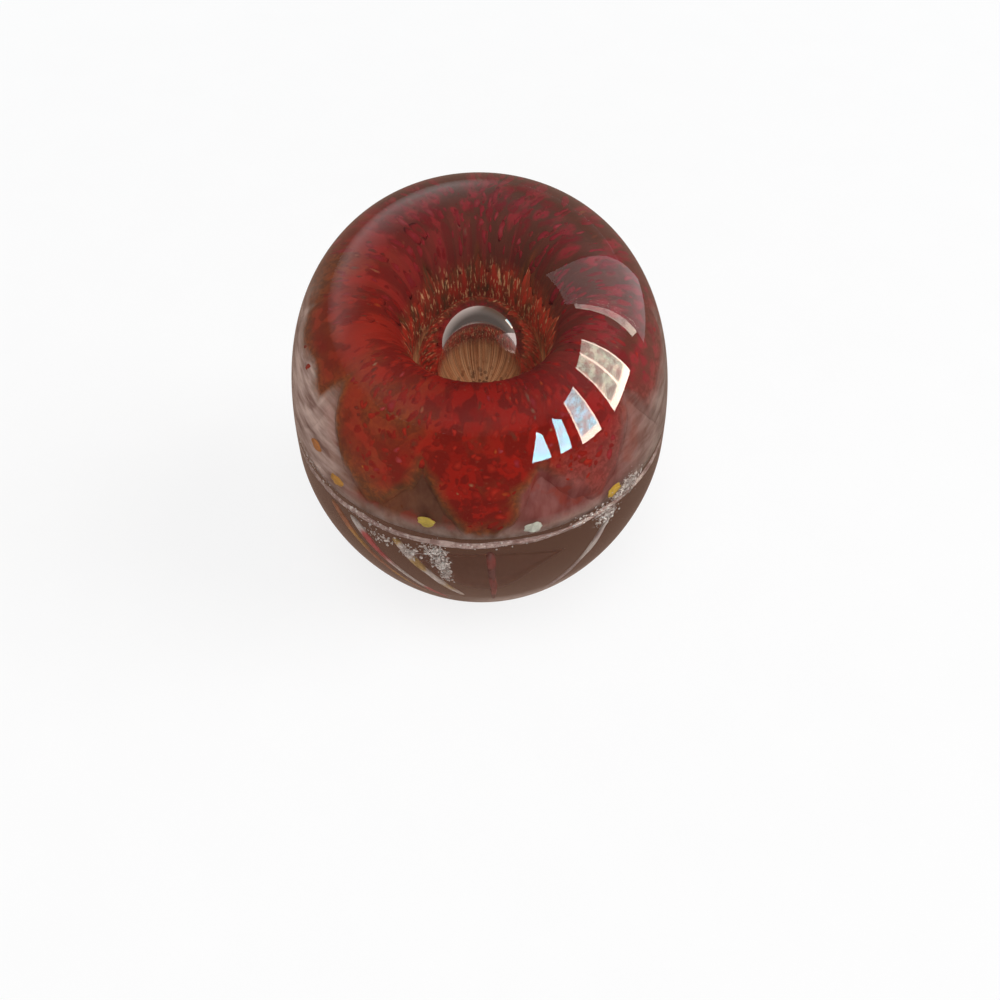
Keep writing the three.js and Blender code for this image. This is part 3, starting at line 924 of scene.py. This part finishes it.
def veil():
    """The veil as a ring-shaped skin under the lobes, thinner and thicker along its streaks"""
    angle = np.linspace(-math.pi, math.pi, 240, endpoint=False)
    ragged = VEIL_HEIGHT - 1.2 + 1.1 * ripple(angle, 0 * angle, 6, 40, 0).clip(-1, 1)
    climb = np.linspace(0, 1, 18)[:, None] * side_place(ragged)
    r, z = side_line(climb)
    half = VEIL_THICKNESS / 2 * (0.7 + 0.25 * ripple(angle, z, 6, 60, 0.3).clip(-1, 1))
    middle = -VEIL_DEPTH - VEIL_THICKNESS / 2
    outer_r, outer_z = moved(r, z, middle + half)
    inner_r, inner_z = moved(r, z, middle - half)
    loop_r = np.concatenate([outer_r, inner_r[::-1]])
    loop_z = np.concatenate([outer_z, inner_z[::-1]])
    return wrapped(round_axis(loop_r, angle, loop_z))


# Strands of the rim thread: radius, distance from its middle, turns round it, start
STRANDS = ((0.52, 0.0, 1, 0.0), (0.34, 0.45, 2, 0.0), (0.26, 0.55, 3, 2.0))


def rim_strand():
    """The silvery thread round the rim: a bar of uneven radius on a wavering circle, with two thinner
    strands wound round it, each a ring-shaped skin"""
    angle = np.linspace(-math.pi, math.pi, 420, endpoint=False)
    sway = 0.16 * ripple(angle, 0 * angle, 6, 23, 0)
    lift = 0.16 * ripple(angle, 0 * angle, 6, 19, 0)
    swell = (1 + 0.22 * ripple(angle, 0 * angle, 8, 50, 0)).clip(0.5, 1.6)
    around = np.linspace(0, TURN, 10, endpoint=False)[:, None]
    skins = []
    for radius, offset, turns, start in STRANDS:
        spin = turns * angle + start
        r = BELL_RADIUS + sway + offset * np.cos(spin)
        z = RIM_THREAD_HEIGHT + lift + offset * np.sin(spin)
        tube = radius * swell
        skins.append(wrapped(round_axis(r + tube * np.sin(around), angle, z + tube * np.cos(around))[::-1]))
    return joined(*skins)


# Clusters of seeds, the tiny bubbles along the rim and the threads: angle, height, spread of both, count
SEED_CLUSTERS = (
    (-66, 38.5, 14, 2.0, 60),
    (-40, 36.4, 9, 1.0, 110),
    (-34, 33.0, 6, 1.6, 90),
    (-24, 31.5, 4, 2.0, 120),
    (-16, 34.0, 4, 2.2, 320),
    (-14, 30.8, 3, 2.4, 340),
    (-12.5, 27.5, 2, 2.4, 240),
    (4, 36.4, 14, 0.6, 60),
    (34, 37.4, 8, 1.2, 80),
    (52, 38.6, 7, 2.0, 560),
    (43, 35.0, 5, 2.4, 320),
    (90, 38.5, 18, 2.0, 60),
    (170, 37.5, 45, 1.6, 70),
    (-130, 37.5, 35, 1.6, 60),
)


def seeds():
    """Tiny bubbles strewn about the rim and the seam of the core, each cluster with a bell-shaped spread
    round its middle. A bubble is a ball of a few dozen faces"""
    t = np.linspace(0, math.pi, 6)[1:-1]
    ball, faces, spots = capped(turned(np.sin(t), -np.cos(t), 6), (0, 0, -1), (0, 0, 1))
    counts = np.array([row[4] for row in SEED_CLUSTERS])
    facts = np.repeat(np.array(SEED_CLUSTERS, float), counts, 0)
    angle = np.radians(facts[:, 0] + facts[:, 2] * chance.normal(0, 0.5, len(facts)))
    z = (facts[:, 1] + facts[:, 3] * chance.normal(0, 0.5, len(facts))).clip(22, 46)
    over = side_line(side_place(z - RIM_HEIGHT))[0]
    under = core_radius(np.minimum(z, SHOULDER_HEIGHT)) - 0.5
    r = np.where(z > SHOULDER_HEIGHT + 0.4, over, under) + chance.uniform(-0.4, 0.7, len(facts))
    size = 0.06 + 0.27 * chance.random(len(facts)) ** 3
    stretch = (size[:, None] * chance.uniform(0.5, 1.5, (len(facts), 3)))[:, None]
    points = (round_axis(r, angle, z)[:, None] + stretch * ball).reshape(-1, 3)
    first = np.arange(len(facts)) * len(ball)
    skins = [[corner + start for corner in face] for start in first.tolist() for face in faces]
    return points, skins, np.tile(spots, (len(facts), 1))


# Threads, as in the CAD model: name, angle at the rim and at the lower end, lower end's height, radius,
# slot, and the two tones of its twist
WHITE = (0.66, 0.60, 0.57)
TRAILS = (
    ("amber_left", -56, -24, 15, 0.9, "amber_thread", (0.52, 0.27, 0.07), (0.40, 0.15, 0.07)),
    ("pink_left", -47, -15, 13, 1.0, "pink_thread", (0.50, 0.09, 0.09), WHITE),
    ("silver_left", -30, -8, 17, 1.1, "silver_thread", (0.66, 0.58, 0.54), (0.50, 0.32, 0.12)),
    ("red_front", 2, 4, 14, 0.9, "red_thread", (0.25, 0.06, 0.05), (0.17, 0.065, 0.055)),
    ("silver_right", 46, 26, 14, 1.0, "silver_thread", WHITE, (0.40, 0.30, 0.30)),
    ("pink_right", 86, 70, 16, 0.9, "pink_thread", (0.50, 0.10, 0.11), WHITE),
    ("amber_back", 132, 116, 14, 0.9, "amber_thread", (0.62, 0.30, 0.04), (0.46, 0.10, 0.03)),
    ("red_back", 178, 164, 13, 1.0, "red_thread", (0.40, 0.05, 0.045), WHITE),
    ("silver_back", -138, -120, 15, 1.0, "silver_thread", WHITE, (0.40, 0.30, 0.30)),
)


def trail(begin, end, low, radius, first, second):
    """A trailed thread down the side of the core: rings across its path, whose radius swells and thins and
    dies away at both ends, of three strands that twist. The radius swings by three waves round the path,
    and so do the two tones"""
    t = np.linspace(0, 1, 150)
    top = SHOULDER_HEIGHT - SEAM - radius
    z = top + (low - top) * t
    angle = np.radians(begin + (end - begin) * t)
    path = round_axis(core_radius(z) - radius - SEAM / 2, angle, z)
    ends = np.sqrt(1 - np.abs(2 * t - 1) ** 14)
    taper = 0.8 - 0.4 * t
    size = taper * radius * ends.clip(0.02) * (1 + 0.22 * ripple(0 * t, t, 5, 1, 18).clip(-1, 1))
    ahead = np.gradient(path, axis=0)
    ahead /= np.linalg.norm(ahead, axis=-1, keepdims=True)
    out = round_axis(1.0, angle, 0 * z)
    up = out - (out * ahead).sum(-1, keepdims=True) * ahead
    up /= np.linalg.norm(up, axis=-1, keepdims=True)
    side = np.cross(ahead, up)
    a = np.linspace(0, TURN, 15, endpoint=False)
    strands = np.cos(3 * (a - 2 * TURN * t[:, None] / 3))
    size = size[:, None] * (1 + 0.1 * strands)
    rings = path[:, None] + up[:, None] * (size * np.cos(a))[..., None]
    rings = rings + side[:, None] * (size * np.sin(a))[..., None]
    patch = 1.1 * ripple(0 * t, t, 4, 1, 22)[:, None]
    share = smooth(0.5 + 0.2 * strands + patch)[..., None]
    tones = (np.array(first) * (1 - share) + np.array(second) * share).reshape(-1, 3)
    return capped(rings, path[0], path[-1]), np.concatenate([tones, tones[:1], tones[-1:]])


# Chips, as in the CAD model: name, angle, height over the rim, slot and tone
CHIPS = (
    ("white_right", 16, 2.4, "white_chip", (0.62, 0.66, 0.58)),
    ("yellow_right", 46, 2.6, "yellow_chip", (0.66, 0.42, 0.05)),
    ("orange_side", -63, 7.5, "orange_chip", (0.55, 0.20, 0.04)),
    ("amber_left", -52, 4, "amber_chip", (0.60, 0.30, 0.05)),
    ("yellow_left", -18, 4, "yellow_chip", (0.58, 0.44, 0.08)),
)
CHIP_SIZE = (3.4, 1.2, 2.6)


def chip(at, lift):
    """A melted chip: an ellipsoid whose radius swings with waves along four slanted directions, turned to
    lie on the bell"""
    t = np.linspace(0, math.pi, 20)[1:-1]
    ball, faces, spots = capped(turned(np.sin(t), -np.cos(t), 28), (0, 0, -1.0), (0, 0, 1.0))
    swing = 1.0
    for _ in range(4):
        swing = swing + 0.09 * np.sin(ball @ chance.normal(0, 3.0, 3) + chance.uniform(0, TURN))
    body = ball * swing[:, None] * np.array(CHIP_SIZE) / 2 * 0.88
    angle = math.radians(at)
    right = np.array([math.cos(angle), math.sin(angle), 0])
    out = np.array([math.sin(angle), -math.cos(angle), 0])
    r, _ = side_line(side_place(lift))
    points = body[:, :1] * right - body[:, 1:2] * out + body[:, 2:] * np.array([0, 0, 1.0])
    return points + out * r + np.array([0, 0, RIM_HEIGHT + lift]), faces, spots


CLEAR = ((0.985, 0.98, 0.975), (0.96, 0.95, 0.94), (0.55, 0.38, 0.3))
SMOKY = ((1, 1, 1), (1, 1, 1), (0.5, 0.30, 0.2))
GROUND = ((0.68, 0.49, 0.42), (0.60, 0.42, 0.36), (0.74, 0.58, 0.5))

casing_glass = glass_finish("clear casing glass", 1.5, *CLEAR, 14.0)
core_glass = glass_finish("smoky core glass", 1.0, *SMOKY, 15.0)
red_frit = frit_finish()
frit_grains = toned_finish("frit grains", 700.0, 0.8, 1.1, 0.5, 0.05)
trailed_glass = toned_finish("trailed glass", 900.0, 0.7, 1.2, 0.2, 0.35)
melted_chip = toned_finish("melted chip", 800.0, 0.7, 1.2, 0.25, 0.3)
tan_streaks = cup_finish()
pale_veil = veil_finish()
silver = silver_finish("silvery thread", (0.58, 0.47, 0.44), (0.30, 0.18, 0.165))
# The seeds' near-white body is painted glint: tiny bubbles look silver by the light they mirror
seeds_painted_glint = silver_finish("seeds with painted glint", (0.92, 0.89, 0.87), (0.5, 0.43, 0.4))
ground = grain_finish("ground base", {"Specular IOR Level": 0.2}, 2500.0, GROUND, (0.6, 0.85), 0.3, 0.1)

piece("casing_glass", casing(), casing_glass, ["outer_gather"])
piece("core_smoke", core(), core_glass, ["core_gather"])
bell_skin, bell_tones = bell_layer()
piece("bell_layer", bell_skin, red_frit, ["bell"], bell_tones)
grain_skin, grain_tones = grains()
piece("bell_grains", grain_skin, frit_grains, tones=grain_tones)
piece("cup_streaks", cup(), tan_streaks, ["bubble_cup"])
piece("veil_band", veil(), pale_veil, ["rim_veil"])
piece("rim_strand", rim_strand(), silver, ["rim_thread"])
piece("rim_seeds", seeds(), seeds_painted_glint)
piece("base_ground", base_disc(), ground)
for name, begin, end, low, radius, slot, first, second in TRAILS:
    skin, tones = trail(begin, end, low, radius, first, second)
    piece("trail_" + name, skin, trailed_glass, ["tentacle_" + name], tones)
for name, at, lift, slot, tone in CHIPS:
    skin = chip(at, lift)
    piece("grain_" + name, skin, melted_chip, ["chip_" + name], np.tile(tone, (len(skin[0]), 1)))


# Stage, in metres: a white sheet and backdrop, lamps, and a warm room with a window that only glass shows
FLOOR_HALF = 6.0
FLOOR_GAP = 0.0001
GLOW = 1.03
GLOW_REACH = (0.12, 0.5)
GLOW_SHARE = (0.75, 1.0)
CARD = (0.0005, 6.0)
CARD_PALE = (0.15, 0.6)


def staged(name, points, faces, material, spots=None, hidden=True):
    """A mesh of the stage. A hidden one isn't seen by the camera and lights nothing, but glass shows it"""
    mesh = bpy.data.meshes.new(name)
    mesh.from_pydata(points, [], faces)
    if spots is not None:
        mesh.uv_layers.new(name="map").data.foreach_set("uv", spots.ravel())
    mesh.materials.append(material)
    material.cycles.emission_sampling = "NONE"
    thing = bpy.data.objects.new(name, mesh)
    scene.collection.objects.link(thing)
    if hidden:
        thing.visible_camera = False
        thing.visible_diffuse = False
        thing.visible_shadow = False
    thing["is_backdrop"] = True


def bare(name):
    """A new material with an empty tree, and its tree"""
    material = bpy.data.materials.new(name)
    material.use_nodes = True
    material.node_tree.nodes.clear()
    return material, material.node_tree


def floor():
    """A flat white sheet under the body. The farther from it, the more of what is seen is its own pale
    light, so that it runs into the backdrop"""
    material, tree, place = finish_of("pale sheet", {"Roughness": 0.9, "Specular IOR Level": 0.1})
    skin = tree.nodes["Principled BSDF"]
    fibre = noise(tree, place, 60.0, 4.0)["Fac"]
    shade = blend(tree, fibre, (0.95, 0.955, 0.96), (0.965, 0.97, 0.975))
    filled(tree, skin, {"Base Color": shade})
    path = add(tree, "LightPath")
    seen = worked(tree, "MAXIMUM", path["Is Camera Ray"], path["Is Glossy Ray"])
    seen = worked(tree, "MAXIMUM", seen, path["Is Transmission Ray"])
    part = worked(tree, "MULTIPLY", seen, spread(tree, length(tree, place), *GLOW_REACH, *GLOW_SHARE))
    glow = add(tree, "Emission", {"Color": shade, "Strength": GLOW})[0]
    filled(tree, tree.nodes["Material Output"], {"Surface": mixed(tree, part, skin.outputs[0], glow)})
    h, z = FLOOR_HALF, -FLOOR_GAP
    corners = [(-h, -h, z), (h, -h, z), (h, h, z), (-h, h, z)]
    staged("sheet", corners, [(0, 1, 2, 3)], material, hidden=False)


def brown_card():
    """A dim brown ring just over the sheet, for the dull brown that the glass shows from under it. It is
    flat, from the axis out into the room, and paler far off for what is seen straight through the glass"""
    material, tree = bare("brown card")
    place = add(tree, "TexCoord")["Object"]
    shade = blend(tree, noise(tree, place, 14.0)["Fac"], (0.20, 0.128, 0.098), (0.245, 0.168, 0.133))
    far = spread(tree, length(tree, place), *CARD_PALE)
    through = worked(tree, "MULTIPLY", far, add(tree, "LightPath")["Is Transmission Ray"])
    shade = blend(tree, through, shade, (0.62, 0.57, 0.54))
    light = add(tree, "Emission", {"Color": shade, "Strength": 1.0})
    add(tree, "OutputMaterial", {"Surface": light[0]})
    angle = np.linspace(0, TURN, 96, endpoint=False)
    rings = round_axis(np.array(CARD)[:, None], angle, -FLOOR_GAP / 2)
    faces, _ = grid_faces(2, 96, False)
    staged("brown_card", rings.reshape(-1, 3).tolist(), faces.tolist(), material)


# Window panes and a pale curtain, mirrored by the dome: corners as angle round the body and height in mm on
# a round wall, brightness, bars across, colours of sky, leaves and bars, and whether it is an inner one
WALL_RADIUS = 172
PANE_STEPS = 16
SKY, LEAF, FRAME = (0.38, 0.86, 1.0), (0.26, 0.32, 0.27), (1.2, 1.1, 0.92)
HAZE, BLUSH = (1.0, 0.94, 0.96), (1.0, 0.88, 0.82)
PANES = (
    (((72, 150), (58, 117), (72, 18), (89, 36)), 16.0, 2, (0.58, 0.72, 0.56), LEAF, FRAME, False),
    (((52, 95), (44, 81), (51, 10), (63, 11)), 17.0, 1, SKY, (0.4, 0.5, 0.5), FRAME, False),
    (((41, 60), (36, 68), (39, 13), (45, 14)), 25.0, 1, SKY, (0.36, 0.66, 0.76), SKY, False),
    (((30, 51), (27, 57), (24, 15), (34, 14)), 26.0, 1, SKY, (0.36, 0.72, 0.84), SKY, False),
    (((95, 219), (88, 203), (100, 55), (108, 42)), 5.2, 1, BLUSH, (0.8, 0.68, 0.62), FRAME, False),
    (((119, 324), (88, 240), (107, 25), (133, 25)), 0.95, 1, HAZE, (0.9, 0.86, 0.88), HAZE, False),
    (((151, 66), (148, 114), (136, 114), (137, 66)), 1.8, 1, SKY, (0.8, 0.86, 0.9), FRAME, True),
)


def pane(number, corners, strength, bars, sky, leaf, bar, inner):
    """One pane as a curved patch: its four corners spread evenly in angle and height over the round wall.
    Its light is sky with blurred leaves, and pale bars along it and at its far end. Only what has been
    mirrored shows it, and straight through the glass it is clear. The bubble alone mirrors an inner one"""
    a, b, c, d = np.array(corners, float)
    line = np.linspace(0, 1, PANE_STEPS + 1)
    u, v = (part[..., None] for part in np.meshgrid(line, line, indexing="ij"))
    flat = (a * (1 - u) + d * u) * (1 - v) + (b * (1 - u) + c * u) * v
    points = round_axis(WALL_RADIUS, np.radians(flat[..., 0]), flat[..., 1]).reshape(-1, 3) * MM
    i, j = np.meshgrid(np.arange(PANE_STEPS), np.arange(PANE_STEPS), indexing="ij")
    first = i * (PANE_STEPS + 1) + j
    above = first + PANE_STEPS + 1
    faces = np.stack([first, first + 1, above + 1, above], -1).reshape(-1, 4)
    spots = np.stack([u, v], -1).reshape(-1, 2)[faces].reshape(-1, 2)
    material, tree = bare(f"pane light {number}")
    place = add(tree, "TexCoord")
    view = spread(tree, noise(tree, place["Object"], 70.0, 3.0)["Fac"], 0.42, 0.6)
    across = parts(tree, place["UV"])
    swing = worked(tree, "WRAP", worked(tree, "MULTIPLY", across["Y"], float(bars)), 1.0, 0.0)
    edge = spread(tree, worked(tree, "ABSOLUTE", worked(tree, "SUBTRACT", swing, 0.5)), 0.41, 0.45)
    barred = worked(tree, "MAXIMUM", edge, spread(tree, across["X"], 0.82, 0.88))
    shade = blend(tree, barred, blend(tree, view, leaf, sky), bar)
    light = add(tree, "Emission", {"Color": shade, "Strength": strength})[0]
    path = add(tree, "LightPath")
    bounced = path["Glossy Depth"]
    if inner:
        bounced = worked(tree, "MINIMUM", bounced, path["Transmission Depth"])
    mirrored = worked(tree, "GREATER_THAN", bounced, 0.5)
    add(tree, "OutputMaterial", {"Surface": mixed(tree, mirrored, add(tree, "BsdfTransparent")[0], light)})
    staged(f"pane_{number}", points.tolist(), faces.tolist(), material, spots)


LAMP_DISTANCE = 2.5
LAMP_AIM = 0.04


def lamp(name, angle, height, size, level, tint):
    """A square soft lamp that faces the body. Its level is how bright a white surface square to it looks, so
    its watts are that level times the square of pi and of the distance"""
    data = bpy.data.lights.new(name, "AREA")
    data.shape = "SQUARE"
    data.size = size
    data.energy = level * (math.pi * LAMP_DISTANCE) ** 2
    data.color = tint
    thing = bpy.data.objects.new(name, data)
    scene.collection.objects.link(thing)
    a, e = math.radians(angle), math.radians(height)
    aim = np.array([math.sin(a) * math.cos(e), -math.cos(a) * math.cos(e), math.sin(e)])
    thing.location = (aim * LAMP_DISTANCE + [0, 0, LAMP_AIM]).tolist()
    thing.rotation_euler = (QUARTER - e, 0, a)
    thing.visible_camera = False
    thing.visible_glossy = False
    thing.visible_transmission = False


def facing(tree, aim, angle, low, high):
    """How near a direction is to an angle round the body, from 0 to 1 between two cosines"""
    a = math.radians(angle)
    inputs = {0: aim, 1: (math.sin(a), -math.cos(a), 0.0)}
    return spread(tree, add(tree, "VectorMath", inputs, operation="DOT_PRODUCT")["Value"], low, high)


def room():
    """A soft warm room: pale at the horizon and dark overhead, with a bright wall at the back on the left
    and a dark one on the right. The camera itself sees a white backdrop"""
    world = bpy.data.worlds.new("soft room")
    scene.world = world
    world.use_nodes = True
    tree = world.node_tree
    aim = add(tree, "TexCoord")["Generated"]
    rise = parts(tree, aim)["Z"]
    shade = blend(tree, facing(tree, aim, 160, 0.86, 0.96), (0.46, 0.435, 0.415), (0.2, 0.13, 0.09))
    shade = blend(tree, facing(tree, aim, -140, 0.68, 0.82), shade, (0.92, 0.88, 0.86))
    shade = blend(tree, spread(tree, rise, -0.02, 0.14), (0.25, 0.195, 0.165), shade)
    shade = blend(tree, spread(tree, rise, 0.05, 0.55), shade, (0.125, 0.115, 0.108))
    dim = filled(tree, tree.nodes["Background"], {"Color": shade}).outputs[0]
    white = add(tree, "Background", {"Color": (0.99, 0.99, 0.99)})[0]
    seen = mixed(tree, add(tree, "LightPath")["Is Camera Ray"], dim, white)
    filled(tree, tree.nodes["World Output"], {"Surface": seen})


# Camera, at the photograph's viewing angle: the height it looks from, how far it stands from the point on
# the axis that it was set by, where that point lies in the picture, and its focal length in picture dots
VIEW_RISE = math.radians(45)
VIEW_DISTANCE = 219.75
VIEW_HEIGHT = 42.2
VIEW_SPOT = (480.4, 393.0)
PICTURE = 1000
FOCAL_DOTS = 1083
SENSOR = 36


def camera():
    """The camera, turned and dipped so that the point on the axis lies at its spot in the picture"""
    data = bpy.data.cameras.new("view")
    data.sensor_width = SENSOR
    data.lens = FOCAL_DOTS / PICTURE * SENSOR
    data.clip_start = 0.005
    thing = bpy.data.objects.new("view", data)
    scene.collection.objects.link(thing)
    scene.camera = thing
    right = (VIEW_SPOT[0] - PICTURE / 2) / FOCAL_DOTS
    up = (PICTURE / 2 - VIEW_SPOT[1]) / FOCAL_DOTS
    ray = math.sqrt(1 + right**2 + up**2)
    yaw = math.asin(-right / ray / math.cos(VIEW_RISE))
    dip = math.atan2(math.sin(VIEW_RISE), math.cos(VIEW_RISE) * math.cos(yaw)) + math.atan(up)
    back = VIEW_DISTANCE * math.cos(VIEW_RISE) * MM
    thing.location = (0, -back, (VIEW_HEIGHT + VIEW_DISTANCE * math.sin(VIEW_RISE)) * MM)
    thing.rotation_euler = (QUARTER - dip, 0, -yaw)


floor()
brown_card()
for number, facts in enumerate(PANES):
    pane(number, *facts)
lamp("sky", -10, 76, 1.6, 0.62, (1.0, 0.99, 0.98))
lamp("window", 86, 36, 1.4, 0.52, (1.0, 0.99, 0.98))
lamp("low front", -8, 18, 1.2, 0.13, (1.0, 0.98, 0.97))
room()
camera()
scene.view_settings.view_transform = "Standard"

low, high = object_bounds()
